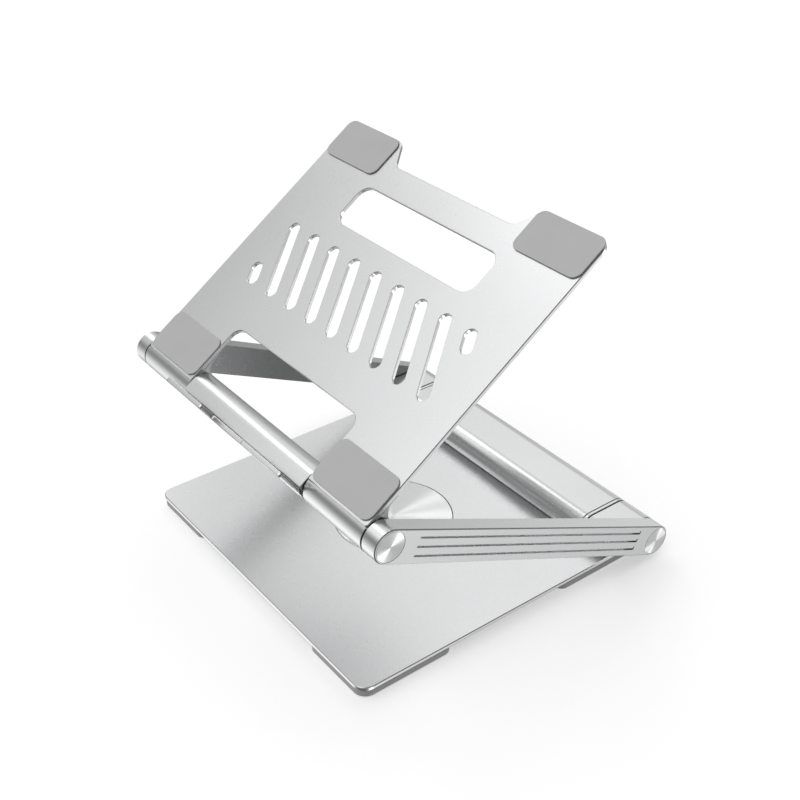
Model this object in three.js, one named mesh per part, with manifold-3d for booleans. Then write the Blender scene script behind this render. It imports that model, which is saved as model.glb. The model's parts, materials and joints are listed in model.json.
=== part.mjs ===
// Folding laptop stand on a swivelling base.
// Millimetres, +Z up, +X to the user's right, +Y towards the back.
// The origin is the swivel axis where the turntable pad rests on the desk.
import * as THREE from 'three';
import { mergeVertices } from 'three/addons/utils/BufferGeometryUtils.js';
import Module from 'manifold-3d';

const wasm = await Module();
wasm.setup();

// ---------- driving dimensions ----------
const GAP = 0.3;                 // clearance between neighbouring pieces
const RUNNING_GAP = 1.0;         // between the arms and what they swing beside

// swivelling base
const BASE_WIDTH = 240;
const BASE_DEPTH = 224;
const BASE_FRONT = -113;         // front edge, measured from the swivel axis
const BASE_CORNER_R = 9;
const PLATE_T = 3;
const FOOT_H = 4.7;
const FOOT_LIFT = 0.3;           // the corner feet ride just above the desk
const FOOT_INSET = 0.5;
const FOOT_WIDTH = 55.5;
const FOOT_DEPTH = 67.5;
const FOOT_CORNER_R = 6;

// turntable
const DISC_R = 40.4;
const DISC_FLANGE_T = 1.4;
const DISC_NECK_R = 36.7;
const DISC_GAP = 0.4;            // ring gap between the disc and the base plate
const DISC_CHAMFER = 0.3;
const DESK_PAD_R = 46;
const DESK_PAD_T = 1.6;
const LOWER_PLATE_R = 48;
const LOWER_PLATE_T = 2.1;
const BEARING_R = 45;
const TURNTABLE_SCREW_CIRCLE_R = 28;
const TURNTABLE_SCREW_LENGTH = 6.2;
const TURNTABLE_SCREW_BOTTOM = 0.4;

// rear bar and its hinge axis
const BAR_R = 10.8;
const REAR_AXIS_Y = 114.8;
const REAR_AXIS_Z = 14.8;
const BAR_FLAT = 22.9;           // distance between the two round edges' centres
const BAR_HALF = 93.8;
const COLLAR_T = 2.3;
const COLLAR_GAP = 0.8;
const BASE_SCREW_X = [-108, -56, -25, 25, 56, 108];
const BASE_SCREW_Y = 97;
const BASE_SCREW_LENGTH = 8;

// arms
const ARM_LENGTH = 238.2;        // hinge axis to hinge axis
const ARM_R = 10.7;
const ARM_T = 11.5;
const ARM_ANGLE = 25.1;          // above the desk, at rest
const GROOVE_PITCH = 5.65;
const GROOVE_R = 0.85;
const GROOVE_DEPTH = 1.2;
const GROOVE_START = 21.5;
const GROOVE_END = 218;
const CAP_R = 9.2;
const CAP_T = 2.0;

// tray, in its own frame: x across, y up the slope from the hinge axis, z away from the desk
const TRAY_TILT = 35;
const TRAY_WIDTH = 240;
const TRAY_FRONT = -0.5;
const TRAY_REAR = 202;
const TRAY_TOP = 11.2;           // height of the tray face above the hinge axis
const TRAY_T = 2.7;
const TRAY_CORNER_R = 9;
const TAB_INNER = 65.2;          // half width of the front cut-out
const TAB_INNER_CORNER_R = 0.5;
const TAB_OUTER_CORNER_R = 2;
const FRONT_CUT_END = 43.8;
const CUT_R = 8;
const RECESS_END = 185.2;
const RECESS_HALF_NARROW = 55.5;
const RECESS_HALF_WIDE = 66.5;
const RECESS_R = 7;
const HANDLE_HALF = 65.2;
const HANDLE_FRONT = 135;
const HANDLE_REAR = 165.4;
const HANDLE_R = 9;
const SLOT_R = 4.2;
const SLOT_PITCH = 22;
const SLOT_ANGLE = 30;
const SLOT_FRONT = 74.5;         // centres of the slots' round ends
const SLOT_REAR = 116.5;
const SLOT_SHORT = 7.1;
const SLOT_COUNT = 8;
const TRAY_SCREW_X = [78, 107];
const TRAY_SCREW_Y = 6.5;
const TRAY_SCREW_LENGTH = 7.5;

// anti-slip pads
const PAD_WIDTH = 53.7;
const PAD_DEPTH = 29.5;
const PAD_T = 0.8;
const PAD_CORNER_R = 6;
const PAD_INSET = 0.8;
const PAD_FRONT_START = 1.0;
const PAD_REAR_START = 172.2;

// front hinge
const BARREL_R = 10.8;
const BRACKET_LEAF_END = 23;
const BRACKET_LEAF_T = 1.0;
const BRACKET_WEB_R = 8;
const CENTRE_BAR_HALF = 64.7;
const CENTRE_BAR_FRONT = -7.5;
const LIP_OUTER = -10.5;
const LIP_INNER = -7.8;
const LIP_BOTTOM = 3.4;
const LIP_WEB_TOP = 15.5;
const LIP_TOP = 27.6;
const LIP_HALF = 63.4;
const HOOK_INNER = 22.4;
const HOOK_R = 1.6;
const LIP_PAD_T = 0.6;
const LIP_PAD_INSET = 3;
const LIP_PAD_TOP_INSET = 2;
const SHAFT_R = 4;
const SHAFT_HALF = 128.6;
const REAR_SHAFT_START = 98.5;
const WASHER_R = 8;
const WASHER_T = 0.5;

// screws
const SCREW_HEAD_R = 3;
const SCREW_HEAD_T = 1.2;
const SCREW_SHANK_R = 1.6;
const SCREW_SINK = 0.2;
const HOLE_CLEARANCE = 0.3;

// facets on a full circle, and on each quarter turn of a rounded corner
const HINGE_FACETS = 32;
const SHAFT_FACETS = 20;
const DISC_FACETS = 64;
const SCREW_FACETS = 12;
const CORNER_STEPS = 3;

// ---------- derived places ----------
const plateBottom = FOOT_LIFT + FOOT_H + GAP;
const plateTop = plateBottom + PLATE_T;
const baseRear = BASE_FRONT + BASE_DEPTH;
const armInner = BASE_WIDTH / 2 - GAP + RUNNING_GAP;
const hingeEnd = BASE_WIDTH / 2 - GAP;
const trayBottom = TRAY_TOP - TRAY_T;
const armTilt = THREE.MathUtils.degToRad(ARM_ANGLE);
const frontAxisY = REAR_AXIS_Y - ARM_LENGTH * Math.cos(armTilt);
const frontAxisZ = REAR_AXIS_Z + ARM_LENGTH * Math.sin(armTilt);

// ---------- finishes ----------
const finish = (color, roughness, metalness) => ({ color, roughness, metalness });
const ALUMINIUM = finish(0xc9cacc, 0.38, 0.9);
const SPUN = finish(0xe2e3e5, 0.25, 1.0);
const STEEL = finish(0x9a9da1, 0.35, 1.0);
const SILICONE = finish(0xa6a6a6, 0.85, 0.0);
const FOOT_RUBBER = finish(0xb0b0b0, 0.8, 0.0);
const NYLON = finish(0xe8e6df, 0.6, 0.0);

// ---------- geometry helpers ----------
const stand = new THREE.Group();
const trayFrame = new THREE.Group();
trayFrame.position.set(0, frontAxisY, frontAxisZ);
trayFrame.rotation.x = THREE.MathUtils.degToRad(TRAY_TILT);
const armFrame = new THREE.Group();
armFrame.position.set(0, REAR_AXIS_Y, REAR_AXIS_Z);
armFrame.rotation.x = -armTilt;
stand.add(trayFrame, armFrame);

function addPart(parent, name, geometry, look) {
  const mesh = new THREE.Mesh(geometry, new THREE.MeshStandardMaterial(look));
  mesh.name = name;
  parent.add(mesh);
}

function toSolid(geometry) {
  geometry.deleteAttribute('normal');
  geometry.deleteAttribute('uv');
  const merged = mergeVertices(geometry);
  const vertProperties = new Float32Array(merged.attributes.position.array);
  const triVerts = new Uint32Array(merged.index.array);
  return new wasm.Manifold(new wasm.Mesh({ numProp: 3, vertProperties, triVerts }));
}

function toGeometry(solid) {
  const mesh = solid.getMesh();
  const geometry = new THREE.BufferGeometry();
  geometry.setAttribute('position', new THREE.BufferAttribute(mesh.vertProperties, mesh.numProp));
  geometry.setIndex(new THREE.BufferAttribute(mesh.triVerts, 1));
  return geometry;
}

function cut(geometry, ...tools) {
  let solid = toSolid(geometry);
  for (const tool of tools) {
    solid = solid.subtract(toSolid(tool));
  }
  return toGeometry(solid);
}

// a flat outline thickened upwards from z = bottom
function slab(shape, bottom, thickness, curveSegments = CORNER_STEPS) {
  const geometry = new THREE.ExtrudeGeometry(shape, { depth: thickness, bevelEnabled: false, curveSegments });
  return geometry.translate(0, 0, bottom);
}

// an outline drawn in the (y, z) plane, drawn out along x from x0 to x1
function barAlongX(shape, x0, x1, curveSegments = HINGE_FACETS / 4) {
  const geometry = new THREE.ExtrudeGeometry(shape, { depth: x1 - x0, bevelEnabled: false, curveSegments });
  const turn = new THREE.Matrix4().makeBasis(
    new THREE.Vector3(0, 1, 0),
    new THREE.Vector3(0, 0, 1),
    new THREE.Vector3(1, 0, 0),
  );
  return geometry.applyMatrix4(turn).translate(x0, 0, 0);
}

function roundAlongZ(radius, z0, z1, facets) {
  const geometry = new THREE.CylinderGeometry(radius, radius, z1 - z0, facets);
  return geometry.rotateX(Math.PI / 2).translate(0, 0, (z0 + z1) / 2);
}

function roundAlongX(radius, x0, x1, facets) {
  const geometry = new THREE.CylinderGeometry(radius, radius, x1 - x0, facets);
  return geometry.rotateZ(Math.PI / 2).translate((x0 + x1) / 2, 0, 0);
}

// the hole a hinge shaft turns in, about the x axis
function shaftBore(x0, x1) {
  return roundAlongX(SHAFT_R + GAP, x0, x1, SHAFT_FACETS);
}

// a lathed piece about +Z from (radius, height) pairs that start and end on the axis
function lathe(profile, facets) {
  const points = profile.map(([r, z]) => new THREE.Vector2(r, z));
  return new THREE.LatheGeometry(points, facets).rotateX(Math.PI / 2);
}

// traces a closed outline through corner points [x, y, radius]; each corner is rounded by its radius
function roundedOutline(corners, path = new THREE.Shape()) {
  const count = corners.length;
  corners.forEach(([x, y, radius], i) => {
    const here = new THREE.Vector2(x, y);
    const before = new THREE.Vector2(...corners[(i + count - 1) % count].slice(0, 2)).sub(here).normalize();
    const after = new THREE.Vector2(...corners[(i + 1) % count].slice(0, 2)).sub(here).normalize();
    const halfAngle = Math.acos(before.dot(after)) / 2;
    const reach = radius / Math.tan(halfAngle);
    const start = here.clone().addScaledVector(before, reach);
    const end = here.clone().addScaledVector(after, reach);
    const move = i === 0 ? 'moveTo' : 'lineTo';
    path[move](start.x, start.y);
    if (radius > 0) {
      const toCentre = before.clone().add(after).normalize().multiplyScalar(radius / Math.sin(halfAngle));
      const centre = here.clone().add(toCentre);
      const from = Math.atan2(start.y - centre.y, start.x - centre.x);
      const to = Math.atan2(end.y - centre.y, end.x - centre.x);
      const clockwise = before.cross(after) > 0;
      path.absarc(centre.x, centre.y, radius, from, to, clockwise);
    }
  });
  path.closePath();
  return path;
}

function roundedRectangle(x0, x1, y0, y1, radius, path = new THREE.Shape()) {
  return roundedOutline([[x0, y0, radius], [x1, y0, radius], [x1, y1, radius], [x0, y1, radius]], path);
}

// a clearance hole for a screw shank or head, upright at (x, y)
function screwHole(radius, z0, z1, x, y) {
  return roundAlongZ(radius + HOLE_CLEARANCE, z0, z1, SCREW_FACETS).translate(x, y, 0);
}

const SIDES = [['left', -1], ['right', 1]];

// orders a span so that it can be mirrored to either side
function span(side, near, far) {
  return side < 0 ? [-far, -near] : [near, far];
}

function screw(headBottom, length) {
  return lathe([
    [0, headBottom],
    [SCREW_HEAD_R, headBottom],
    [SCREW_HEAD_R, headBottom + SCREW_HEAD_T],
    [SCREW_SHANK_R, headBottom + SCREW_HEAD_T],
    [SCREW_SHANK_R, headBottom + length],
    [0, headBottom + length],
  ], SCREW_FACETS);
}

// ---------- turntable ----------
function addTurntable() {
  const lowerBottom = DESK_PAD_T + GAP;
  const lowerTop = lowerBottom + LOWER_PLATE_T;
  const capBottom = lowerTop + GAP;
  const places = [45, 135, 225, 315].map((degrees) => {
    const angle = THREE.MathUtils.degToRad(degrees);
    return [TURNTABLE_SCREW_CIRCLE_R * Math.cos(angle), TURNTABLE_SCREW_CIRCLE_R * Math.sin(angle)];
  });

  const drill = (radius, z0, z1) => places.map(([x, y]) => screwHole(radius, z0, z1, x, y));
  const pad = roundAlongZ(DESK_PAD_R, 0, DESK_PAD_T, DISC_FACETS);
  const padHoles = drill(SCREW_HEAD_R + HOLE_CLEARANCE, -1, DESK_PAD_T + 1);
  addPart(stand, 'turntable_pad', cut(pad, ...padHoles), SILICONE);
  const lower = roundAlongZ(LOWER_PLATE_R, lowerBottom, lowerTop, DISC_FACETS);
  const lowerHoles = drill(SCREW_SHANK_R, 0, lowerTop + 1);
  addPart(stand, 'turntable_plate', cut(lower, ...lowerHoles), STEEL);

  const ring = roundAlongZ(BEARING_R, capBottom, plateBottom - GAP, HINGE_FACETS);
  const ringHole = roundAlongZ(DISC_NECK_R + DISC_GAP, 0, plateTop, HINGE_FACETS);
  addPart(stand, 'bearing_ring', cut(ring, ringHole), NYLON);

  const cap = lathe([
    [0, capBottom],
    [DISC_NECK_R, capBottom],
    [DISC_NECK_R, plateTop - DISC_FLANGE_T],
    [DISC_R, plateTop - DISC_FLANGE_T],
    [DISC_R, plateTop - DISC_CHAMFER],
    [DISC_R - DISC_CHAMFER, plateTop],
    [0, plateTop],
  ], DISC_FACETS);
  const capHoles = drill(SCREW_SHANK_R, capBottom - 1, TURNTABLE_SCREW_BOTTOM + TURNTABLE_SCREW_LENGTH + GAP);
  addPart(stand, 'turntable_cap', cut(cap, ...capHoles), SPUN);
  places.forEach(([x, y], i) => {
    const body = screw(TURNTABLE_SCREW_BOTTOM, TURNTABLE_SCREW_LENGTH).translate(x, y, 0);
    addPart(stand, `turntable_screw_${i + 1}`, body, STEEL);
  });
}

// ---------- base plate and feet ----------
function addBasePlate() {
  const half = BASE_WIDTH / 2;
  const outline = roundedRectangle(-half, half, BASE_FRONT, baseRear, BASE_CORNER_R);
  const ledge = plateTop - DISC_FLANGE_T - GAP;
  const discHoles = [
    roundAlongZ(DISC_NECK_R + DISC_GAP, plateBottom - 1, plateTop + 1, DISC_FACETS),
    roundAlongZ(DISC_R + DISC_GAP, ledge, plateTop + 1, DISC_FACETS),
  ];
  const pocketTop = plateBottom + SCREW_HEAD_T + 2 * HOLE_CLEARANCE;
  const screwHoles = BASE_SCREW_X.flatMap((x) => [
    screwHole(SCREW_HEAD_R, plateBottom - 1, pocketTop, x, BASE_SCREW_Y),
    screwHole(SCREW_SHANK_R, plateBottom - 1, plateTop + 1, x, BASE_SCREW_Y),
  ]);
  const plate = cut(slab(outline, plateBottom, PLATE_T), ...discHoles, ...screwHoles);
  addPart(stand, 'base_plate', plate, ALUMINIUM);
}

function addFeet() {
  const outer = BASE_WIDTH / 2 - FOOT_INSET;
  const inner = outer - FOOT_WIDTH;
  const outerR = BASE_CORNER_R - FOOT_INSET;
  const ends = [
    ['front', BASE_FRONT + FOOT_INSET, 1],
    ['rear', baseRear - FOOT_INSET, -1],
  ];
  for (const [end, edge, inward] of ends) {
    for (const [side, sign] of SIDES) {
      const corners = [
        [sign * outer, edge, outerR],
        [sign * inner, edge, FOOT_CORNER_R],
        [sign * inner, edge + inward * FOOT_DEPTH, FOOT_CORNER_R],
        [sign * outer, edge + inward * FOOT_DEPTH, FOOT_CORNER_R],
      ];
      addPart(stand, `foot_${end}_${side}`, slab(roundedOutline(corners), FOOT_LIFT, FOOT_H), FOOT_RUBBER);
    }
  }
}

// ---------- rear bar ----------
// flat top, round front and rear, and a step at the bottom that sits over the base plate
function barSection() {
  const seat = plateTop + GAP;
  const stepY = baseRear + GAP;
  const endAngle = Math.PI + Math.asin((REAR_AXIS_Z - seat) / BAR_R);
  const section = new THREE.Shape();
  section.moveTo(stepY, seat);
  section.lineTo(stepY, REAR_AXIS_Z - BAR_R);
  section.absarc(REAR_AXIS_Y, REAR_AXIS_Z, BAR_R, -Math.PI / 2, Math.PI / 2, false);
  section.absarc(REAR_AXIS_Y - BAR_FLAT, REAR_AXIS_Z, BAR_R, Math.PI / 2, endAngle, false);
  section.closePath();
  return section;
}

function addRearBar() {
  const screwBottom = plateBottom + HOLE_CLEARANCE;
  const holeTop = screwBottom + BASE_SCREW_LENGTH + GAP;
  const blockStart = BAR_HALF + GAP + COLLAR_T + COLLAR_GAP;
  const drill = (places) => places.map((x) => screwHole(SCREW_SHANK_R, plateTop, holeTop, x, BASE_SCREW_Y));

  const barHoles = drill(BASE_SCREW_X.filter((x) => Math.abs(x) < BAR_HALF));
  const bar = cut(barAlongX(barSection(), -BAR_HALF, BAR_HALF), ...barHoles);
  addPart(stand, 'rear_bar', bar, ALUMINIUM);

  for (const [side, sign] of SIDES) {
    const collarSpan = span(sign, BAR_HALF + GAP, BAR_HALF + GAP + COLLAR_T);
    addPart(stand, `bar_collar_${side}`, barAlongX(barSection(), ...collarSpan), ALUMINIUM);

    const [x0, x1] = span(sign, blockStart, hingeEnd);
    const shaftHole = shaftBore(x0 - 1, x1 + 1).translate(0, REAR_AXIS_Y, REAR_AXIS_Z);
    const blockHoles = drill(BASE_SCREW_X.filter((x) => sign * x > blockStart));
    const block = cut(barAlongX(barSection(), x0, x1), shaftHole, ...blockHoles);
    addPart(stand, `hinge_block_${side}`, block, ALUMINIUM);
  }

  BASE_SCREW_X.forEach((x, i) => {
    const body = screw(screwBottom, BASE_SCREW_LENGTH).translate(x, BASE_SCREW_Y, 0);
    addPart(stand, `base_screw_${i + 1}`, body, STEEL);
  });
}

// ---------- arms ----------
// drawn in the arm's frame: the rear hinge axis is the origin and the front one lies at y = -ARM_LENGTH
function armSection() {
  const section = new THREE.Shape();
  section.absarc(0, 0, ARM_R, -Math.PI / 2, Math.PI / 2, false);
  section.absarc(-ARM_LENGTH, 0, ARM_R, Math.PI / 2, Math.PI * 1.5, false);
  section.closePath();
  return section;
}

function grooveTool(height, x0, x1) {
  const section = new THREE.Shape();
  section.absarc(-GROOVE_START, height, GROOVE_R, -Math.PI / 2, Math.PI / 2, false);
  section.absarc(-GROOVE_END, height, GROOVE_R, Math.PI / 2, Math.PI * 1.5, false);
  section.closePath();
  return barAlongX(section, x0, x1, CORNER_STEPS - 1);
}

function addArms() {
  const armOuter = armInner + ARM_T;
  const pocketFloor = armOuter - CAP_T - GAP;
  const washerStart = hingeEnd + (RUNNING_GAP - WASHER_T) / 2;
  const ends = [['rear', 0], ['front', -ARM_LENGTH]];
  for (const [side, sign] of SIDES) {
    const [x0, x1] = span(sign, armInner, armOuter);
    const tools = [];
    for (const [end, y] of ends) {
      tools.push(shaftBore(x0 - 1, x1 + 1).translate(0, y, 0));
      const pocket = roundAlongX(CAP_R + GAP, ...span(sign, pocketFloor, armOuter + 1), HINGE_FACETS);
      tools.push(pocket.translate(0, y, 0));

      const cap = roundAlongX(CAP_R, ...span(sign, armOuter - CAP_T, armOuter), HINGE_FACETS);
      addPart(armFrame, `cap_${end}_${side}`, cap.translate(0, y, 0), SPUN);
      const [w0, w1] = span(sign, washerStart, washerStart + WASHER_T);
      const washer = cut(roundAlongX(WASHER_R, w0, w1, SHAFT_FACETS), shaftBore(w0 - 1, w1 + 1));
      addPart(armFrame, `washer_${end}_${side}`, washer.translate(0, y, 0), STEEL);
    }
    for (const row of [-1, 0, 1]) {
      tools.push(grooveTool(row * GROOVE_PITCH, ...span(sign, armOuter - GROOVE_DEPTH, armOuter + 1)));
    }
    addPart(armFrame, `arm_${side}`, cut(barAlongX(armSection(), x0, x1), ...tools), ALUMINIUM);

    const rearShaft = roundAlongX(SHAFT_R, ...span(sign, REAR_SHAFT_START, SHAFT_HALF), SHAFT_FACETS);
    addPart(armFrame, `rear_shaft_${side}`, rearShaft, STEEL);
  }
  const frontShaft = roundAlongX(SHAFT_R, -SHAFT_HALF, SHAFT_HALF, SHAFT_FACETS);
  addPart(armFrame, 'front_shaft', frontShaft.translate(0, -ARM_LENGTH, 0), STEEL);
}

// ---------- tray ----------
function slotPath(x, y0, y1) {
  const lean = Math.tan(THREE.MathUtils.degToRad(SLOT_ANGLE));
  const middle = (SLOT_FRONT + SLOT_REAR) / 2;
  const angle = THREE.MathUtils.degToRad(90 + SLOT_ANGLE);
  const place = (y) => [x - lean * (y - middle), y];
  const path = new THREE.Path();
  path.absarc(...place(y1), SLOT_R, angle + Math.PI / 2, angle - Math.PI / 2, true);
  path.absarc(...place(y0), SLOT_R, angle - Math.PI / 2, angle - Math.PI * 1.5, true);
  path.closePath();
  return path;
}

function trayOutline() {
  const half = TRAY_WIDTH / 2;
  const rightSide = [
    [TAB_INNER, FRONT_CUT_END, CUT_R],
    [TAB_INNER, TRAY_FRONT, TAB_INNER_CORNER_R],
    [half, TRAY_FRONT, TAB_OUTER_CORNER_R],
    [half, TRAY_REAR, TRAY_CORNER_R],
    [RECESS_HALF_WIDE, TRAY_REAR, RECESS_R],
    [RECESS_HALF_NARROW, RECESS_END, RECESS_R],
  ];
  const leftSide = rightSide.map(([x, y, r]) => [-x, y, r]).reverse();
  const outline = roundedOutline([...rightSide, ...leftSide]);

  const handle = new THREE.Path();
  roundedRectangle(-HANDLE_HALF, HANDLE_HALF, HANDLE_FRONT, HANDLE_REAR, HANDLE_R, handle);
  outline.holes.push(handle);
  for (let i = 0; i < SLOT_COUNT; i += 1) {
    outline.holes.push(slotPath((i - (SLOT_COUNT - 1) / 2) * SLOT_PITCH, SLOT_FRONT, SLOT_REAR));
  }
  const shortX = (SLOT_COUNT + 1) / 2 * SLOT_PITCH;
  outline.holes.push(slotPath(-shortX, SLOT_FRONT, SLOT_FRONT + SLOT_SHORT));
  outline.holes.push(slotPath(shortX, SLOT_REAR - SLOT_SHORT, SLOT_REAR));
  return outline;
}

function addTray() {
  const screwPlaces = SIDES.flatMap(([side, sign]) => TRAY_SCREW_X.map((x) => [side, sign * x]));
  const screwTop = TRAY_TOP - SCREW_SINK;
  const shankHole = (x) => {
    const bottom = screwTop - TRAY_SCREW_LENGTH - GAP;
    return screwHole(SCREW_SHANK_R, bottom, TRAY_TOP + 1, x, TRAY_SCREW_Y);
  };
  const headHole = (x) => {
    const bottom = screwTop - SCREW_HEAD_T - HOLE_CLEARANCE;
    return screwHole(SCREW_HEAD_R, bottom, TRAY_TOP + 1, x, TRAY_SCREW_Y);
  };
  const trayHoles = screwPlaces.flatMap(([, x]) => [shankHole(x), headHole(x)]);
  addPart(trayFrame, 'tray_plate', cut(slab(trayOutline(), trayBottom, TRAY_T), ...trayHoles), ALUMINIUM);

  for (const [side, sign] of SIDES) {
    const [x0, x1] = span(sign, TAB_INNER + GAP, hingeEnd);
    const holes = screwPlaces.filter(([name]) => name === side).map(([, x]) => shankHole(x));
    const bracket = cut(barAlongX(bracketSection(), x0, x1), shaftBore(x0 - 1, x1 + 1), ...holes);
    addPart(trayFrame, `hinge_bracket_${side}`, bracket, ALUMINIUM);
  }
  screwPlaces.forEach(([, x], i) => {
    const body = screw(-screwTop, TRAY_SCREW_LENGTH).rotateX(Math.PI).translate(x, TRAY_SCREW_Y, 0);
    addPart(trayFrame, `tray_screw_${i + 1}`, body, STEEL);
  });
}

// the barrel with a seat for the tray plate on top and a curved web that runs out into a thin leaf
function bracketSection() {
  const seat = trayBottom - GAP;
  const leafBottom = seat - BRACKET_LEAF_T;
  const webCentreY = BARREL_R + BRACKET_WEB_R;
  const webCentreZ = leafBottom - BRACKET_WEB_R;
  const stepAngle = Math.acos((TRAY_FRONT - GAP) / BARREL_R);
  const section = new THREE.Shape();
  section.moveTo(BRACKET_LEAF_END, leafBottom);
  section.lineTo(BRACKET_LEAF_END, seat);
  section.lineTo(TRAY_FRONT - GAP, seat);
  section.absarc(0, 0, BARREL_R, stepAngle, Math.PI * 2 + Math.asin(webCentreZ / BARREL_R), false);
  section.absarc(webCentreY, webCentreZ, BRACKET_WEB_R, Math.PI, Math.PI / 2, true);
  section.closePath();
  return section;
}

// the centre bar: round behind and below, flat on top, with a ledge in front for the retaining lip
function centreBarSection() {
  const ledge = LIP_BOTTOM - GAP;
  const section = new THREE.Shape();
  section.moveTo(CENTRE_BAR_FRONT, BARREL_R);
  section.lineTo(CENTRE_BAR_FRONT, ledge);
  section.absarc(0, 0, BARREL_R, Math.PI - Math.asin(ledge / BARREL_R), Math.PI * 2.5, false);
  section.closePath();
  return section;
}

// the lip is one plate: a low web with an upright hook at each side
function lipOutline() {
  return roundedOutline([
    [-LIP_HALF, LIP_BOTTOM, 0],
    [LIP_HALF, LIP_BOTTOM, 0],
    [LIP_HALF, LIP_TOP, HOOK_R],
    [HOOK_INNER, LIP_TOP, HOOK_R],
    [HOOK_INNER, LIP_WEB_TOP, HOOK_R],
    [-HOOK_INNER, LIP_WEB_TOP, HOOK_R],
    [-HOOK_INNER, LIP_TOP, HOOK_R],
    [-LIP_HALF, LIP_TOP, HOOK_R],
  ]);
}

// stands a slab drawn in the (x, z) plane upright, with its back at y = back
function uprightSlab(shape, front, back) {
  return slab(shape, 0, back - front).rotateX(Math.PI / 2).translate(0, back, 0);
}

function addFrontHinge() {
  const bore = shaftBore(-CENTRE_BAR_HALF - 1, CENTRE_BAR_HALF + 1);
  const centreBar = cut(barAlongX(centreBarSection(), -CENTRE_BAR_HALF, CENTRE_BAR_HALF), bore);
  addPart(trayFrame, 'centre_bar', centreBar, ALUMINIUM);
  addPart(trayFrame, 'retaining_lip', uprightSlab(lipOutline(), LIP_OUTER, LIP_INNER), ALUMINIUM);
  for (const [side, sign] of SIDES) {
    const [x0, x1] = span(sign, HOOK_INNER + LIP_PAD_INSET, LIP_HALF - LIP_PAD_INSET);
    const outline = roundedRectangle(x0, x1, TRAY_TOP + GAP, LIP_TOP - LIP_PAD_TOP_INSET, HOOK_R);
    const back = LIP_INNER + GAP + LIP_PAD_T;
    addPart(trayFrame, `lip_pad_${side}`, uprightSlab(outline, LIP_INNER + GAP, back), SILICONE);
  }
}

function addPads() {
  const outer = TRAY_WIDTH / 2 - PAD_INSET;
  const rows = [['front', PAD_FRONT_START], ['rear', PAD_REAR_START]];
  for (const [row, start] of rows) {
    for (const [side, sign] of SIDES) {
      const [x0, x1] = span(sign, outer - PAD_WIDTH, outer);
      const outline = roundedRectangle(x0, x1, start, start + PAD_DEPTH, PAD_CORNER_R);
      addPart(trayFrame, `pad_${row}_${side}`, slab(outline, TRAY_TOP + GAP, PAD_T), SILICONE);
    }
  }
}

addTurntable();
addBasePlate();
addFeet();
addRearBar();
addArms();
addTray();
addFrontHinge();
addPads();

export default stand;
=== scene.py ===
import json
import math

import bpy
from mathutils import Matrix, Vector
from mathutils.geometry import tessellate_polygon


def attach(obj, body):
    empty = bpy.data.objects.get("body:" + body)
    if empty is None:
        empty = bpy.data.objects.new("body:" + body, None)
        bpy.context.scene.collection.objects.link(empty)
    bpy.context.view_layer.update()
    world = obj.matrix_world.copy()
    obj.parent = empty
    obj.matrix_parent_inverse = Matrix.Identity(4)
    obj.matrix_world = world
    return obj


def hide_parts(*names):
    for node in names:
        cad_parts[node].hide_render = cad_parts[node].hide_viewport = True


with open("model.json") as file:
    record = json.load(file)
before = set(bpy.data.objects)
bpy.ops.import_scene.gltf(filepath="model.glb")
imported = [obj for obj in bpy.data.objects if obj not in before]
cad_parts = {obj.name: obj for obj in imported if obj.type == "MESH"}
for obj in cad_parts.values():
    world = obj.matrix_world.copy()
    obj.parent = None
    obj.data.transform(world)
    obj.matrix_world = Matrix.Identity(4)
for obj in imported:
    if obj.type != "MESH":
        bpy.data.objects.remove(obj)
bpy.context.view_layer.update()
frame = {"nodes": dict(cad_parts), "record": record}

# ---------- sizes, as in the CAD model ----------
# (the arm grooves are narrower and deeper here, so that they look as dark as in the photograph)
MM = 0.001
ARC_STEP = 5.0  # degrees between points on a rounded corner
SMOOTH_ANGLE = 32  # degrees; a sharper turn between two faces keeps a crisp edge
SIDES = (("left", -1), ("right", 1))
SEAT_GAP = 0.3  # left between two fixed pieces that lie against each other

# edges are (size, steps): one step is a chamfer, more make it round
CHAMFER, FINE_CHAMFER, FACE_CHAMFER, BAR_CHAMFER = (0.3, 1), (0.2, 1), (0.45, 1), (0.35, 1)

BASE_HALF = 120.0
BASE_FRONT, BASE_REAR = -113.0, 111.0
PLATE_LOW, PLATE_TOP = 5.3, 8.3
BASE_CORNER = 9.0
DISC_R, DISC_NECK_R, DISC_LOW, DISC_FLANGE, DISC_GAP, DISC_EDGE = 40.4, 36.7, 4.3, 1.4, 0.4, 0.3
DESK_PAD_R, DESK_PAD_TOP = 46.0, 1.6
LOWER_PLATE_R, LOWER_PLATE = 48.0, (1.9, 4.0)
TURNTABLE_SCREW_CIRCLE = 28.0

SCREW_HEAD_R, SCREW_HEAD, SCREW_SHANK_R, SCREW_POINT = 3.0, 1.2, 1.6, 0.4
SCREW_ROOM_R, SCREW_HOLE_R = 3.3, 1.9
DISC_SCREW_LOW, DISC_SCREW_LENGTH, BASE_SCREW_LENGTH = 0.4, 6.2, 8.0

FOOT_LOW, FOOT_TOP = 0.3, 5.0
FOOT_INSET, FOOT_WIDTH, FOOT_DEPTH, FOOT_CORNER = 0.5, 55.5, 67.5, 6.0

BAR_R, BAR_FLAT = 10.8, 22.9
BAR_HALF, COLLAR, BLOCK_START, HINGE_END = 93.8, (94.1, 96.4), 97.2, 119.7
BASE_SCREW_X, BASE_SCREW_Y = (-108, -56, -25, 25, 56, 108), 97.0

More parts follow.
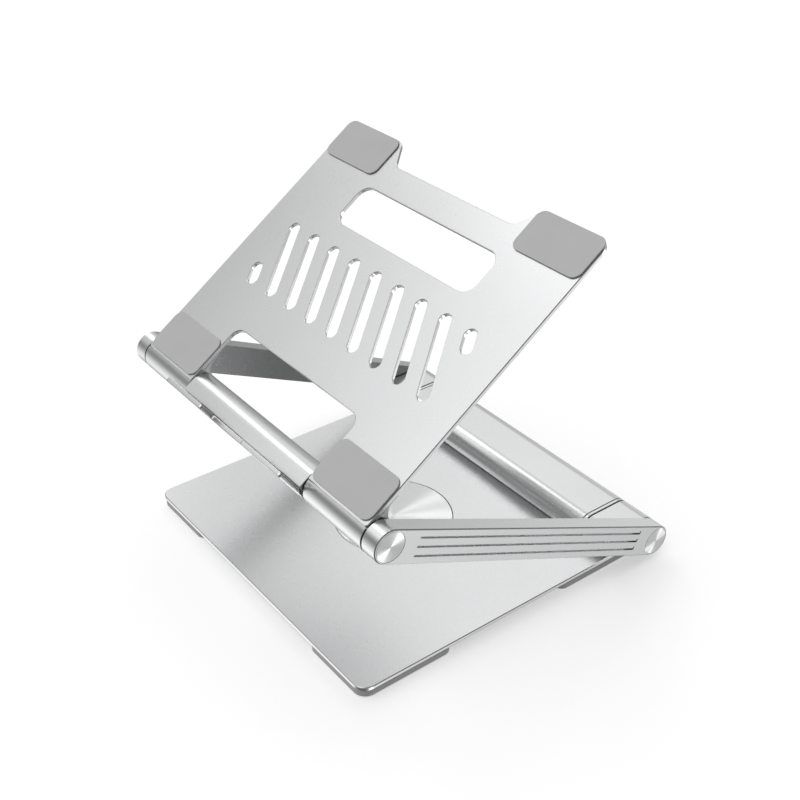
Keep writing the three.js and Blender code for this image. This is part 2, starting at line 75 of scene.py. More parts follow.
ARM_LENGTH, ARM_R, ARM_INNER, ARM_OUTER = 238.2, 10.7, 120.7, 132.2
ARM_ANGLE = 25.1
GROOVE_PITCH, GROOVE_R, GROOVE_DEPTH = 5.65, 0.55, 3.0
GROOVE_ENDS = (20.65, 218.85)
HOOK_RISE, HOOK_WIDTH, HOOK_TIP = 1.8, 0.9, 0.3
CAP_R, CAP_T, CAP_GAP, CAP_FIT, CAP_EDGE = 9.2, 2.0, 0.3, 0.1, 0.2
CAP_DIMPLE_R, CAP_DIMPLE = 0.7, 0.25
POCKET_EDGE = 0.1
WASHER_R, WASHER = 8.0, (119.95, 120.45)
SHAFT_BORE = 4.3

TRAY_TILT = 35.0
TRAY_HALF, TRAY_FRONT, TRAY_REAR = 120.0, -0.5, 202.0
TRAY_LOW, TRAY_TOP, TRAY_CORNER = 8.5, 11.2, 9.0
TAB_INNER, TAB_INNER_CORNER, TAB_OUTER_CORNER = 65.2, 0.5, 2.0
FRONT_CUT_END, CUT_CORNER = 43.8, 8.0
RECESS_END, RECESS_NARROW, RECESS_WIDE, RECESS_CORNER = 185.2, 55.5, 66.5, 7.0
HANDLE_HALF, HANDLE_SPAN, HANDLE_CORNER = 65.2, (135.0, 165.4), 9.0
SLOT_COUNT, SLOT_R, SLOT_PITCH, SLOT_LEAN = 8, 4.2, 22.0, 30.0
SLOT_SPAN, SLOT_SHORT = (74.5, 116.5), 7.1

PAD_LOW, PAD_TOP = 11.5, 12.3
PAD_WIDTH, PAD_DEPTH, PAD_CORNER, PAD_INSET = 53.7, 29.5, 6.0, 0.8
PAD_STARTS = {"front": 1.0, "rear": 172.2}

BARREL_R, LEAF_END, LEAF_T, WEB_R = 10.8, 23.0, 1.0, 8.0
CENTRE_BAR_HALF, CENTRE_BAR_FRONT, CENTRE_BAR_CHAMFER = 64.7, -7.5, 0.6
LIP, LIP_LOW, LIP_WEB_TOP, LIP_TOP = (-10.5, -7.8), 3.4, 15.5, 27.6
LIP_HALF, LIP_FOOT_R, HOOK_INNER, HOOK_R = 63.4, 0.4, 22.4, 1.6
LIP_PAD, LIP_PAD_INSET, LIP_PAD_DROP = (-7.5, -6.9), 3.0, 2.0

# ---------- places of the moving frames ----------
joints = {joint["name"]: joint for joint in frame["record"]["behaviour"]["joints"]}
rear_axis = Vector(joints["arm_hinge"]["pos_m"]) / MM
front_axis = Vector(joints["tray_hinge"]["pos_m"]) / MM
TRAY_FRAME = Matrix.Translation(front_axis) @ Matrix.Rotation(math.radians(TRAY_TILT), 4, "X")
ARM_FRAME = Matrix.Translation(rear_axis) @ Matrix.Rotation(-math.radians(ARM_ANGLE), 4, "X")
# turns an outline's (u, v) into (y, z) and its height into x, for pieces drawn out sideways
SIDEWAYS = Matrix(((0, 0, 1, 0), (1, 0, 0, 0), (0, 1, 0, 0), (0, 0, 0, 1)))
# stands an outline's (u, v) up as (x, z), with its height running towards the back
UPRIGHT = Matrix(((1, 0, 0, 0), (0, 0, -1, 0), (0, 1, 0, 0), (0, 0, 0, 1)))


# ---------- outlines ----------
def arc(cx, cy, radius, start, end, step=ARC_STEP):
    """Points on an arc from start to end, in degrees; it turns clockwise where end is less."""
    count = max(2, math.ceil(abs(end - start) / step))
    angles = [math.radians(start + (end - start) * i / count) for i in range(count + 1)]
    return [(cx + radius * math.cos(a), cy + radius * math.sin(a)) for a in angles]


def circle(cx, cy, radius, step=ARC_STEP):
    return arc(cx, cy, radius, 0, 360, step)[:-1]


def rounded(corners):
    """An outline through corners (x, y, radius), each rounded by its radius."""
    points = []
    for i, (x, y, radius) in enumerate(corners):
        here = Vector((x, y))
        before = (Vector(corners[i - 1][:2]) - here).normalized()
        after = (Vector(corners[(i + 1) % len(corners)][:2]) - here).normalized()
        if radius <= 0:
            points.append((x, y))
            continue
        half = before.angle(after) / 2
        centre = here + (before + after).normalized() * (radius / math.sin(half))
        first = here + before * (radius / math.tan(half)) - centre
        last = here + after * (radius / math.tan(half)) - centre
        start = math.degrees(math.atan2(first.y, first.x))
        turn = math.degrees(math.atan2(last.y, last.x)) - start
        turn = (turn + 180) % 360 - 180
        points += arc(centre.x, centre.y, radius, start, start + turn)
    return points


def rectangle(x0, x1, y0, y1, radius):
    x0, x1 = min(x0, x1), max(x0, x1)
    y0, y1 = min(y0, y1), max(y0, y1)
    return rounded([(x0, y0, radius), (x1, y0, radius), (x1, y1, radius), (x0, y1, radius)])


def anticlockwise(points):
    clean = [p for i, p in enumerate(points) if math.dist(p, points[i - 1]) > 1e-4]
    area = sum(clean[i - 1][0] * p[1] - p[0] * clean[i - 1][1] for i, p in enumerate(clean))
    return clean if area > 0 else clean[::-1]


def shrunk(points, amount):
    """The anticlockwise outline moved inwards by amount, or outwards if it is negative."""
    out = []
    count = len(points)
    for i, point in enumerate(points):
        here = Vector(point)
        to_here = (here - Vector(points[i - 1])).normalized()
        onward = (Vector(points[(i + 1) % count]) - here).normalized()
        n0 = Vector((-to_here.y, to_here.x))
        n1 = Vector((-onward.y, onward.x))
        out.append(tuple(here + (n0 + n1) * (amount / (1 + n0.dot(n1)))))
    return out


# ---------- closed forms ----------
class Form:
    """The vertices and faces of a closed form, in its own (u, v, height) frame."""

    def __init__(self):
        self.verts = []
        self.faces = []

    def ring(self, points, height):
        first = len(self.verts)
        self.verts += [(u, v, height) for u, v in points]
        return list(range(first, len(self.verts)))

    def skin(self, rings, inside=False):
        for low, high in zip(rings, rings[1:]):
            for i in range(len(low)):
                quad = (low[i - 1], low[i], high[i], high[i - 1])
                self.faces.append(quad[::-1] if inside else quad)

    def cap(self, rings, up):
        loops = [[Vector((*self.verts[i][:2], 0)) for i in ring] for ring in rings]
        flat = [i for ring in rings for i in ring]
        for triangle in tessellate_polygon(loops):
            a, b, c = (flat[i] for i in triangle)
            (ax, ay, _), (bx, by, _), (cx, cy, _) = (self.verts[i] for i in (a, b, c))
            area = (bx - ax) * (cy - ay) - (cx - ax) * (by - ay)
            if abs(area) < 1e-9:
                continue
            self.faces.append((a, b, c) if (area > 0) == up else (a, c, b))

    def prism(
        self, outline, low, high, holes=(), pockets=(),
        low_edge=(0, 1), high_edge=(0, 1), hole_edge=(0, 1),
    ):
        """An outline drawn out from low to high. A pocket is (outline, depth, size of the chamfer
        round its mouth) and is sunk into the high face."""
        tops, bottoms = [], []
        loops = [(anticlockwise(outline), 1, low_edge, high_edge)]
        loops += [(anticlockwise(hole), -1, hole_edge, hole_edge) for hole in holes]
        for points, sign, (low_size, low_steps), (high_size, high_steps) in loops:
            levels = []
            if low_size:
                levels += edge_levels(low, low_size, low_steps)
            else:
                levels.append((low, 0))
            if high_size:
                rising = edge_levels(low, high_size, high_steps)
                levels += [(high + low - w, inset) for w, inset in rising][::-1]
            else:
                levels.append((high, 0))
            rings = [self.ring(shrunk(points, sign * inset), w) for w, inset in levels]
            self.skin(rings, inside=sign < 0)
            bottoms.append(rings[0])
            tops.append(rings[-1])
        for pocket, depth, edge in pockets:
            points = anticlockwise(pocket)
            levels = [(high, edge), (high - edge, 0)] if edge else [(high, 0)]
            levels.append((high - depth, 0))
            rings = [self.ring(shrunk(points, -inset), w) for w, inset in levels]
            self.skin(rings[::-1], inside=True)
            self.cap([rings[-1]], True)
            tops.append(rings[0])
        self.cap(bottoms, False)
        self.cap(tops, True)
        return self

    def lathe(self, profile, facets):
        """Turns (radius, height) pairs round the height axis; the profile starts and ends on it."""
        centre_low = len(self.verts)
        self.verts.append((0, 0, profile[0][1]))
        rings = [self.ring(circle(0, 0, r, 360 / facets), w) for r, w in profile[1:-1]]
        centre_high = len(self.verts)
        self.verts.append((0, 0, profile[-1][1]))
        self.skin(rings)
        for i in range(facets):
            self.faces.append((centre_low, rings[0][i], rings[0][i - 1]))
            self.faces.append((centre_high, rings[-1][i - 1], rings[-1][i]))
        return self

    def join(self, other, matrix=None):
        first = len(self.verts)
        self.verts += [tuple(matrix @ Vector(v)) if matrix else v for v in other.verts]
        self.faces += [tuple(i + first for i in face) for face in other.faces]
        return self


def edge_levels(low, size, steps):
    """(height, inset) pairs that lead from a flat end round its edge on to the side."""
    turns = [math.radians(90 * i / steps) for i in range(steps + 1)]
    return [(low + size * (1 - math.cos(t)), size * (1 - math.sin(t))) for t in turns]


def piece(name, body, stands_for, form, material, place=None, mirror=False):
    """Makes the form an object that rides on its body and stands for its CAD nodes."""
    place = place or Matrix.Identity(4)
    verts = [place @ Vector(v) for v in form.verts]
    faces = form.faces
    if mirror:
        verts = [Vector((-v.x, v.y, v.z)) for v in verts]
        faces = [face[::-1] for face in faces]
    mesh = bpy.data.meshes.new(name)
    mesh.from_pydata([v * MM for v in verts], [], faces)
    mesh.validate()
    mesh.shade_smooth()
    mesh.set_sharp_from_angle(angle=math.radians(SMOOTH_ANGLE))
    mesh.materials.append(material)
    obj = bpy.data.objects.new(name, mesh)
    bpy.context.scene.collection.objects.link(obj)
    weighted = obj.modifiers.new("face_weighted_normals", "WEIGHTED_NORMAL")
    weighted.mode = "FACE_AREA"
    weighted.keep_sharp = True
    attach(obj, body)
    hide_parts(*([stands_for] if isinstance(stands_for, str) else stands_for))
    return obj


# ---------- materials ----------
class Nodes:
    """A short way to write a material's node tree."""

    def __init__(self, name):
        self.material = bpy.data.materials.new(name)
        self.material.use_nodes = True
        self.tree = self.material.node_tree
        self.shader = self.tree.nodes["Principled BSDF"]
        self.coords = self.tree.nodes.new("ShaderNodeTexCoord").outputs["Object"]

    def node(self, kind, inputs=None, **settings):
        node = self.tree.nodes.new("ShaderNode" + kind)
        for key, value in settings.items():
            setattr(node, key, value)
        for key, value in (inputs or {}).items():
            if isinstance(value, bpy.types.NodeSocket):
                self.tree.links.new(value, node.inputs[key])
            else:
                node.inputs[key].default_value = value
        return node

    def noise(self, scale, detail=2.0, roughness=0.5, coords=None):
        inputs = {"Vector": coords or self.coords, "Scale": scale, "Detail": detail, "Roughness": roughness}
        return self.node("TexNoise", inputs).outputs["Fac"]

    def ramp(self, noise, low, high):
        """Spreads a noise, which mostly lies between 0.3 and 0.7, from low to high."""
        inputs = {"Value": noise, "From Min": 0.3, "From Max": 0.7, "To Min": low, "To Max": high}
        return self.node("MapRange", inputs).outputs["Result"]

    def blend(self, factor, first, second):
        node = self.node("Mix", data_type="RGBA")
        self.tree.links.new(factor, node.inputs["Factor"])
        # 6 and 7 are the colours A and B, and output 2 is the mixed colour
        node.inputs[6].default_value = (*first, 1)
        node.inputs[7].default_value = (*second, 1)
        return node.outputs[2]

    def bump(self, height, distance, strength):
        inputs = {"Height": height, "Distance": distance, "Strength": strength}
        return self.node("Bump", inputs).outputs["Normal"]

    def set(self, **values):
        for key, value in values.items():
            socket = self.shader.inputs[key.replace("_", " ")]
            if isinstance(value, bpy.types.NodeSocket):
                self.tree.links.new(value, socket)
            else:
                socket.default_value = value
        return self.material


def anodised(name, first, second, roughness):
    """Fine bead-blasted, anodised aluminium: a silky, even grain in its gloss and faint clouding."""
    n = Nodes(name)
    cloud = n.noise(11)
    grain = n.noise(260)
    return n.set(
        Base_Color=n.blend(n.ramp(cloud, 0, 1), first, second),
        Metallic=1.0,
        Roughness=n.ramp(grain, roughness - 0.008, roughness + 0.008),
    )


def turned(name, axis, roughness):
    """Face-turned aluminium: fine rings round the axis, and a highlight that fans out from the centre."""
    n = Nodes(name)
    generated = n.tree.nodes.new("ShaderNodeTexCoord").outputs["Generated"]
    centred = n.node("VectorMath", {0: generated, 1: (0.5, 0.5, 0.5)}, operation="SUBTRACT").outputs[0]
    flat = (0, 1, 1) if axis == "X" else (1, 1, 0)
    radial = n.node("VectorMath", {0: centred, 1: flat}, operation="MULTIPLY").outputs[0]
    distance = n.node("VectorMath", {0: radial}, operation="LENGTH").outputs["Value"]
    ring = n.node("CombineXYZ", {"X": distance, "Y": 0.0, "Z": 0.0}).outputs[0]
    coarse = n.noise(40, 1, 0.4, ring)
    fine = n.noise(220, 2, 0.7, ring)
    tangent = n.node("Tangent", direction_type="RADIAL", axis=axis).outputs[0]
    return n.set(
        Base_Color=n.blend(n.ramp(coarse, 0, 1), (0.92, 0.925, 0.93), (0.95, 0.955, 0.96)),
        Metallic=1.0,
        Roughness=n.ramp(fine, roughness - 0.03, roughness + 0.03),
        Anisotropic=1.0,
        Anisotropic_Rotation=0.25,
        Tangent=tangent,
    )


def rubbery(name, first, second, roughness):
    """Matt moulded silicone or rubber: a fine grain and slightly dusty clouding."""
    n = Nodes(name)
    cloud = n.noise(45)
    grain = n.noise(600)
    return n.set(
        Base_Color=n.blend(n.ramp(cloud, 0, 1), first, second),
        Roughness=n.ramp(grain, roughness - 0.06, roughness + 0.06),
        Specular_IOR_Level=0.35,
        Sheen_Weight=0.08,
        Sheen_Roughness=0.5,
        Normal=n.bump(grain, 0.00001, 0.4),
    )


def machined(name, tone, roughness):
    """Plain machined steel: fine scratches drawn out along x."""
    n = Nodes(name)
    stretched = n.node("Mapping", {"Vector": n.coords, "Scale": (60, 2600, 2600)}).outputs[0]
    scratches = n.noise(1, 3, 0.6, stretched)
    return n.set(
        Base_Color=n.blend(n.ramp(scratches, 0, 1), (tone * 0.85,) * 3, (tone * 1.1,) * 3),
        Metallic=1.0,
        Roughness=n.ramp(scratches, roughness - 0.08, roughness + 0.08),
        Normal=n.bump(scratches, 0.000006, 0.4),
    )


def moulded(name, first, second):
    """Natural nylon with a faint mould texture."""
    n = Nodes(name)
    return n.set(
        Base_Color=n.blend(n.ramp(n.noise(90, 3), 0, 1), first, second),
        Roughness=n.ramp(n.noise(700, 2), 0.5, 0.62),
        Normal=n.bump(n.noise(1500, 2), 0.00001, 0.4),
    )


ALUMINIUM = anodised("anodised_aluminium", (0.74, 0.745, 0.75), (0.77, 0.775, 0.78), 0.28)
TURNED_Z = turned("turned_aluminium_disc", "Z", 0.32)
TURNED_X = turned("turned_aluminium_caps", "X", 0.32)
SILICONE = rubbery("grey_silicone", (0.64, 0.64, 0.64), (0.66, 0.66, 0.66), 0.72)
DESK_SILICONE = rubbery("desk_pad_silicone", (0.22, 0.22, 0.225), (0.25, 0.25, 0.255), 0.75)
FOOT_RUBBER = rubbery("foot_rubber", (0.74, 0.74, 0.745), (0.77, 0.77, 0.775), 0.7)
STEEL = machined("machined_steel", 0.42, 0.3)
DARK_STEEL = machined("blackened_steel", 0.10, 0.38)
NYLON = moulded("natural_nylon", (0.70, 0.68, 0.63), (0.76, 0.74, 0.69))


# ---------- turntable ----------
def socket_screw(length):
    """A button-headed screw, head down, with a hexagon socket and a plain shank."""
    hexagon = circle(0, 0, SCREW_HEAD_R * 0.52, 60)
    socket = (hexagon, SCREW_HEAD * 0.75, 0.08)
    head = Form().prism(
        circle(0, 0, SCREW_HEAD_R, 7.5), -SCREW_HEAD, 0, pockets=[socket], high_edge=(0.45, 3),
    )
    end = length - SCREW_HEAD
    shank_profile = [
        (0, 0), (SCREW_SHANK_R, 0), (SCREW_SHANK_R, end - SCREW_POINT),
        (SCREW_SHANK_R - SCREW_POINT, end), (0, end),
    ]
    shank = Form().lathe(shank_profile, 32)
    flipped = Matrix.Rotation(math.pi, 4, "X")
    # the shank starts just inside the head
    onto_head = Matrix.Translation((0, 0, SCREW_HEAD - 0.01))
    return Form().join(head, flipped).join(shank, onto_head)


turntable_places = [
    (TURNTABLE_SCREW_CIRCLE * math.cos(math.radians(a)), TURNTABLE_SCREW_CIRCLE * math.sin(math.radians(a)))
    for a in (45, 135, 225, 315)
]
disc_profile = [
    (0, DISC_LOW), (DISC_NECK_R, DISC_LOW),
    (DISC_NECK_R, PLATE_TOP - DISC_FLANGE), (DISC_R, PLATE_TOP - DISC_FLANGE),
    (DISC_R, PLATE_TOP - DISC_EDGE), (DISC_R - DISC_EDGE, PLATE_TOP), (0, PLATE_TOP),
]
disc = Form().lathe(disc_profile, 240)
piece("swivel_disc", "turntable", "turntable_cap", disc, TURNED_Z)
lower_plate = Form().prism(
    circle(0, 0, LOWER_PLATE_R, 2), *LOWER_PLATE,
    holes=[circle(x, y, SCREW_HOLE_R, 15) for x, y in turntable_places],
    low_edge=CHAMFER, high_edge=CHAMFER,
)
piece("lower_plate", "turntable", "turntable_plate", lower_plate, STEEL)
# the desk pad leaves room for the screw heads
desk_pad = Form().prism(
    circle(0, 0, DESK_PAD_R, 2), 0, DESK_PAD_TOP,
    holes=[circle(x, y, SCREW_ROOM_R, 10) for x, y in turntable_places],
    low_edge=(0.5, 3), high_edge=FINE_CHAMFER, hole_edge=(0.2, 2),
)
desk_pad = piece("desk_pad", "turntable", "turntable_pad", desk_pad, DESK_SILICONE)
for i, (x, y) in enumerate(turntable_places):
    screw = Form().join(socket_screw(DISC_SCREW_LENGTH), Matrix.Translation((x, y, DISC_SCREW_LOW)))
    piece(f"disc_screw_{i + 1}", "turntable", f"turntable_screw_{i + 1}", screw, DARK_STEEL)

# ---------- base ----------
base_outline = rectangle(-BASE_HALF, BASE_HALF, BASE_FRONT, BASE_REAR, BASE_CORNER)
base_holes = [circle(0, 0, DISC_R + DISC_GAP, 1.5)]
base_holes += [circle(x, BASE_SCREW_Y, SCREW_ROOM_R, 10) for x in BASE_SCREW_X]
base_plate = Form().prism(
    base_outline, PLATE_LOW, PLATE_TOP, holes=base_holes,
    low_edge=(0.8, 4), high_edge=FACE_CHAMFER, hole_edge=(0.15, 1),
)
piece("plate_form", "base", "base_plate", base_plate, ALUMINIUM)

for end, edge, inward in (("front", BASE_FRONT + FOOT_INSET, 1), ("rear", BASE_REAR - FOOT_INSET, -1)):
    for side, sign in SIDES:
        outer = sign * (BASE_HALF - FOOT_INSET)
        inner = sign * (BASE_HALF - FOOT_INSET - FOOT_WIDTH)
        far = edge + inward * FOOT_DEPTH
        outline = rounded([
            (outer, edge, BASE_CORNER - FOOT_INSET),
            (inner, edge, FOOT_CORNER),
            (inner, far, FOOT_CORNER),
            (outer, far, FOOT_CORNER),
        ])
        foot = Form().prism(outline, FOOT_LOW, FOOT_TOP, low_edge=(0.9, 4), high_edge=(0.25, 1))
        foot = piece(f"foot_pad_{end}_{side}", "base", f"foot_{end}_{side}", foot, FOOT_RUBBER)


def bar_section():
    """The rear bar's outline: flat on top, round in front and behind, and stepped over the plate's edge."""
    seat = PLATE_TOP + SEAT_GAP
    step_y = BASE_REAR + SEAT_GAP
    front_y = rear_axis.y - BAR_FLAT
    end = 180 + math.degrees(math.asin((rear_axis.z - seat) / BAR_R))
    points = [(step_y, seat), (step_y, rear_axis.z - BAR_R)]
    points += arc(rear_axis.y, rear_axis.z, BAR_R, -90, 90, 3)
    points += arc(front_y, rear_axis.z, BAR_R, 90, end, 3)
    return points


bar = Form().prism(bar_section(), -BAR_HALF, BAR_HALF, low_edge=BAR_CHAMFER, high_edge=BAR_CHAMFER)
piece("bar_form", "base", "rear_bar", bar, ALUMINIUM, SIDEWAYS)
for side, sign in SIDES:
    collar = Form().prism(bar_section(), *COLLAR, low_edge=CHAMFER, high_edge=CHAMFER)
    piece(
        f"collar_form_{side}", "base", f"bar_collar_{side}", collar, ALUMINIUM,
        SIDEWAYS, sign < 0,
    )
    block = Form().prism(
        bar_section(), BLOCK_START, HINGE_END, holes=[circle(rear_axis.y, rear_axis.z, SHAFT_BORE)],
        low_edge=BAR_CHAMFER, high_edge=FINE_CHAMFER, hole_edge=FINE_CHAMFER,
    )
    piece(
        f"block_form_{side}", "base", f"hinge_block_{side}", block, ALUMINIUM,
        SIDEWAYS, sign < 0,
    )
for i, x in enumerate(BASE_SCREW_X):
    under_plate = Matrix.Translation((x, BASE_SCREW_Y, PLATE_LOW + SEAT_GAP))
    screw = Form().join(socket_screw(BASE_SCREW_LENGTH), under_plate)
    piece(f"bar_screw_{i + 1}", "base", f"base_screw_{i + 1}", screw, DARK_STEEL)


# ---------- arms ----------
def stadium(length, radius, step):
    """A long outline with round ends, centred on 0 and on -length."""
    return arc(0, 0, radius, -90, 90, step) + arc(-length, 0, radius, 90, 270, step)


def groove(height):
    """A long groove, round in front and turned up at its rear end."""
    rear, front = -GROOVE_ENDS[0], -GROOVE_ENDS[1]
    low, high = height - GROOVE_R, height + GROOVE_R
    hook_top = high + HOOK_RISE - GROOVE_R
    # not quite the full radius, so that a short straight is left between the two front corners
    end = GROOVE_R * 0.98
    return rounded([
        (front, low, end), (rear, low, end), (rear, hook_top, HOOK_TIP),
        (rear - HOOK_WIDTH, hook_top, HOOK_TIP), (rear - HOOK_WIDTH, high, HOOK_TIP),
        (front, high, end),
    ])


bore = circle(0, 0, SHAFT_BORE)
cap_rim = CAP_R + CAP_GAP - CAP_FIT
cap_profile = [
    (0, ARM_OUTER - CAP_T), (cap_rim, ARM_OUTER - CAP_T),
    (cap_rim, ARM_OUTER - CAP_EDGE), (cap_rim - CAP_EDGE, ARM_OUTER),
    (CAP_DIMPLE_R, ARM_OUTER), (0, ARM_OUTER - CAP_DIMPLE),
]
for side, sign in SIDES:
    grooves = [(groove(row * GROOVE_PITCH), GROOVE_DEPTH, POCKET_EDGE) for row in (-1, 0, 1)]
    recesses = [
        (circle(y, 0, CAP_R + CAP_GAP, 4), CAP_T + CAP_GAP, POCKET_EDGE) for y in (0, -ARM_LENGTH)
    ]
    arm = Form().prism(
        stadium(ARM_LENGTH, ARM_R, 4), ARM_INNER, ARM_OUTER, pockets=grooves + recesses,
        low_edge=FINE_CHAMFER, high_edge=(0.6, 1),
    )
    piece(
        f"arm_form_{side}", "arms", f"arm_{side}", arm, ALUMINIUM,
        ARM_FRAME @ SIDEWAYS, sign < 0,
    )
    for end, y in (("rear", 0), ("front", -ARM_LENGTH)):
        place = ARM_FRAME @ Matrix.Translation((0, y, 0)) @ SIDEWAYS
        cap = Form().lathe(cap_profile, 120)
        piece(
            f"cap_form_{end}_{side}", "arms", f"cap_{end}_{side}", cap, TURNED_X,
            place, sign < 0,
        )
        washer = Form().prism(
            circle(0, 0, WASHER_R), *WASHER, holes=[bore], low_edge=(0.1, 1), high_edge=(0.1, 1),
        )
        piece(
            f"washer_form_{end}_{side}", "arms", f"washer_{end}_{side}", washer, DARK_STEEL,
            place, sign < 0,
        )


# ---------- tray ----------
def slot(x, y0, y1):
    """A leaning slot with round ends at y0 and y1, which crosses x halfway up the row of slots."""
    lean = math.tan(math.radians(SLOT_LEAN))
    middle = sum(SLOT_SPAN) / 2
    turn = 90 + SLOT_LEAN
    low = (x - lean * (y0 - middle), y0)
    high = (x - lean * (y1 - middle), y1)
    return arc(*high, SLOT_R, turn - 90, turn + 90) + arc(*low, SLOT_R, turn + 90, turn + 270)


# the corners of the tray's right half, as (x, y, radius)
right_side = [
    (TAB_INNER, FRONT_CUT_END, CUT_CORNER),
    (TAB_INNER, TRAY_FRONT, TAB_INNER_CORNER),
    (TRAY_HALF, TRAY_FRONT, TAB_OUTER_CORNER),
    (TRAY_HALF, TRAY_REAR, TRAY_CORNER),
    (RECESS_WIDE, TRAY_REAR, RECESS_CORNER),
    (RECESS_NARROW, RECESS_END, RECESS_CORNER),
]
tray_outline = rounded(right_side + [(-x, y, r) for x, y, r in reversed(right_side)])
tray_holes = [rectangle(-HANDLE_HALF, HANDLE_HALF, *HANDLE_SPAN, HANDLE_CORNER)]
tray_holes += [slot((i - (SLOT_COUNT - 1) / 2) * SLOT_PITCH, *SLOT_SPAN) for i in range(SLOT_COUNT)]
# a short slot continues the row at each end
short_x = (SLOT_COUNT + 1) / 2 * SLOT_PITCH
tray_holes.append(slot(-short_x, SLOT_SPAN[0], SLOT_SPAN[0] + SLOT_SHORT))
tray_holes.append(slot(short_x, SLOT_SPAN[1] - SLOT_SHORT, SLOT_SPAN[1]))
tray = Form().prism(
    tray_outline, TRAY_LOW, TRAY_TOP, holes=tray_holes,
    low_edge=CHAMFER, high_edge=FACE_CHAMFER, hole_edge=CHAMFER,
)
# the front pads cover the tray's screws, so the tray stands for them too
tray_nodes = ["tray_plate"] + [f"tray_screw_{i}" for i in range(1, 5)]
piece("tray_form", "tray", tray_nodes, tray, ALUMINIUM, TRAY_FRAME)

for row, start in PAD_STARTS.items():
    for side, sign in SIDES:
        outer = sign * (TRAY_HALF - PAD_INSET)
        outline = rectangle(outer, outer - sign * PAD_WIDTH, start, start + PAD_DEPTH, PAD_CORNER)
        pad = Form().prism(outline, PAD_LOW, PAD_TOP, low_edge=(0.1, 1), high_edge=(0.3, 3))
        pad = piece(
            f"corner_pad_{row}_{side}", "tray", f"pad_{row}_{side}", pad, SILICONE, TRAY_FRAME,
        )


def bracket_section():
    """A round barrel with a flat leaf under the tray and a curved web between the two."""
    seat = TRAY_LOW - SEAT_GAP
    step = TRAY_FRONT - SEAT_GAP
    leaf_low = seat - LEAF_T
    web_y = BARREL_R + WEB_R
    web_z = leaf_low - WEB_R
    points = [(LEAF_END, leaf_low), (LEAF_END, seat), (step, seat)]
    start = math.degrees(math.acos(step / BARREL_R))
    points += arc(0, 0, BARREL_R, start, 360 + math.degrees(math.asin(web_z / BARREL_R)), 3)
    points += arc(web_y, web_z, WEB_R, 180, 90, 4)
    return points


def centre_bar_section():
    """Flat on top and in front, with a ledge for the lip, and round below and behind."""
    ledge = LIP_LOW - SEAT_GAP
    points = [
        (CENTRE_BAR_FRONT + CENTRE_BAR_CHAMFER, BARREL_R),
        (CENTRE_BAR_FRONT, BARREL_R - CENTRE_BAR_CHAMFER),
        (CENTRE_BAR_FRONT, ledge),
    ]
    return points + arc(0, 0, BARREL_R, 180 - math.degrees(math.asin(ledge / BARREL_R)), 450, 3)


for side, sign in SIDES:
    bracket = Form().prism(
        bracket_section(), TAB_INNER + SEAT_GAP, HINGE_END, holes=[bore],
        low_edge=CHAMFER, high_edge=FINE_CHAMFER, hole_edge=FINE_CHAMFER,
    )
    piece(
        f"bracket_form_{side}", "tray", f"hinge_bracket_{side}", bracket, ALUMINIUM,
        TRAY_FRAME @ SIDEWAYS, sign < 0,
    )
centre_bar = Form().prism(
    centre_bar_section(), -CENTRE_BAR_HALF, CENTRE_BAR_HALF, holes=[bore],
    low_edge=CHAMFER, high_edge=CHAMFER, hole_edge=FINE_CHAMFER,
)
piece(
    "centre_bar_form", "tray", "centre_bar", centre_bar, ALUMINIUM,
    TRAY_FRAME @ SIDEWAYS,
)

# two hooks with a low web between them
lip_outline = rounded([
    (-LIP_HALF, LIP_LOW, LIP_FOOT_R), (LIP_HALF, LIP_LOW, LIP_FOOT_R),
    (LIP_HALF, LIP_TOP, HOOK_R), (HOOK_INNER, LIP_TOP, HOOK_R),
    (HOOK_INNER, LIP_WEB_TOP, HOOK_R), (-HOOK_INNER, LIP_WEB_TOP, HOOK_R),
    (-HOOK_INNER, LIP_TOP, HOOK_R), (-LIP_HALF, LIP_TOP, HOOK_R),
])
# upright pieces are drawn from their back face towards the front
lip = Form().prism(lip_outline, -LIP[1], -LIP[0], low_edge=(0.35, 2), high_edge=(0.35, 2))
piece("lip_form", "tray", "retaining_lip", lip, ALUMINIUM, TRAY_FRAME @ UPRIGHT)
for side, sign in SIDES:
    outline = rectangle(
        sign * (HOOK_INNER + LIP_PAD_INSET), sign * (LIP_HALF - LIP_PAD_INSET),
        TRAY_TOP + SEAT_GAP, LIP_TOP - LIP_PAD_DROP, HOOK_R,
    )
    lip_pad = Form().prism(outline, -LIP_PAD[1], -LIP_PAD[0], low_edge=(0.2, 2))
    lip_pad = piece(
        f"hook_pad_{side}", "tray", f"lip_pad_{side}", lip_pad, SILICONE, TRAY_FRAME @ UPRIGHT,
    )

# ---------- CAD pieces that keep their shape ----------
kept_nodes = {
    "bearing_ring": NYLON,
    "front_shaft": STEEL,
    "rear_shaft_left": STEEL,
    "rear_shaft_right": STEEL,
}
for name, material in kept_nodes.items():
    node = frame["nodes"][name]
    node.data.materials.clear()
    node.data.materials.append(material)

# ---------- floor, light and camera ----------
FLOOR_SIZE = 80  # metres, so that its edge is far off in every view
FLOOR_Z = -0.0002  # metres; just clear of the desk pad's own face
FLOOR_GLOW = 0.46  # evens the desk out, so that its shadow stays faint

bpy.ops.mesh.primitive_plane_add(size=FLOOR_SIZE, location=(0, 0, FLOOR_Z))
floor = bpy.context.object
floor.name = "floor"
paint = Nodes("pale_floor")
paint.set(
    Base_Color=paint.blend(paint.noise(3, 2), (0.80, 0.80, 0.80), (0.82, 0.82, 0.82)),
    Roughness=0.9,
    Specular_IOR_Level=0.0,
    Emission_Color=(1, 1, 1, 1),
    Emission_Strength=FLOOR_GLOW,
)
floor.data.materials.append(paint.material)
# the desk is seen and takes the shadow, and the metal mirrors the bounce cards instead of it
floor.visible_glossy = False
floor.visible_diffuse = False


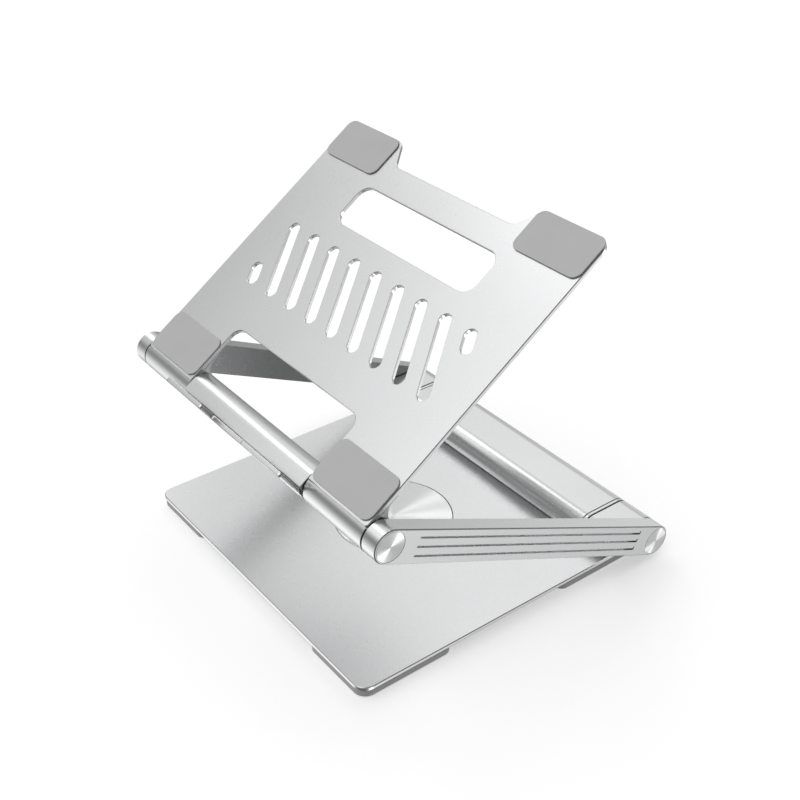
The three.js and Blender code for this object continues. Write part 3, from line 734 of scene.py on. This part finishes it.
# soft studio panels: where each stands (azimuth from +X, elevation), its strength and its sharpness
STUDIO = {
    "key softbox over the right front": (285, 55, 1.4, 14),
    "fill softbox over the left front": (240, 58, 1.0, 14),
    "small softbox over the left": (180, 50, 3.6, 160),
    "small softbox low at the left rear": (169, 30, 3.4, 130),
    "wide panel at the left rear": (146, 34, 0.6, 14),
    "small panel at the left rear": (134, 38, 0.4, 60),
    "wide panel on the left": (214, 44, 0.75, 16),
    "overhead softbox over the rear": (100, 62, 1.4, 14),
    "backdrop behind the stand": (112, 0, 0.85, 16),
    "low card at the right rear": (62, -15, 5.0, 60),
    "bounce card at the right": (37, -32, 0.85, 14),
    "bounce card under the right": (12, -56, 5.0, 60),
    "bounce card in front on the left": (210, -45, 1.1, 14),
    "bounce card low on the left": (220, -20, 0.7, 14),
}
ROOM_LIGHT = 0.15

world = bpy.data.worlds.new("studio")
world.use_nodes = True
sky = world.node_tree
direction = sky.nodes.new("ShaderNodeTexCoord").outputs["Generated"]


def sky_math(operation, first, second):
    node = sky.nodes.new("ShaderNodeMath")
    node.operation = operation
    for socket, value in zip(node.inputs, (first, second)):
        if isinstance(value, bpy.types.NodeSocket):
            sky.links.new(value, socket)
        else:
            socket.default_value = value
    return node.outputs[0]


glow = ROOM_LIGHT
for azimuth, elevation, strength, sharpness in STUDIO.values():
    around, up = math.radians(azimuth), math.radians(elevation)
    towards = (math.cos(up) * math.cos(around), math.cos(up) * math.sin(around), math.sin(up))
    facing = sky.nodes.new("ShaderNodeVectorMath")
    facing.operation = "DOT_PRODUCT"
    sky.links.new(direction, facing.inputs[0])
    facing.inputs[1].default_value = towards
    lobe = sky_math("POWER", sky_math("MAXIMUM", facing.outputs["Value"], 0.0), sharpness)
    glow = sky_math("ADD", sky_math("MULTIPLY", lobe, strength), glow)
# the camera sees a plain white backdrop beyond the floor, and the metal sees the panels
seen_directly = sky.nodes.new("ShaderNodeLightPath").outputs["Is Camera Ray"]
sky.nodes["Background"].inputs["Color"].default_value = (1, 1, 1, 1)
sky.links.new(sky_math("MAXIMUM", glow, seen_directly), sky.nodes["Background"].inputs["Strength"])
bpy.context.scene.world = world
bpy.context.scene.view_settings.view_transform = "Standard"

# the photograph's own viewpoint, in metres
CAMERA_PLACE = (0.53696, -0.40344, 0.52796)
CAMERA_AIM = (-0.67130, 0.51168, -0.53623)
CAMERA_LENS, CAMERA_SENSOR = 55.94, 36

camera = bpy.data.objects.new("camera", bpy.data.cameras.new("camera"))
camera.data.lens = CAMERA_LENS
camera.data.sensor_width = CAMERA_SENSOR
camera.location = CAMERA_PLACE
camera.rotation_euler = Vector(CAMERA_AIM).to_track_quat("-Z", "Y").to_euler()
camera.data.clip_start, camera.data.clip_end = 0.01, 50
bpy.context.scene.collection.objects.link(camera)
bpy.context.scene.camera = camera
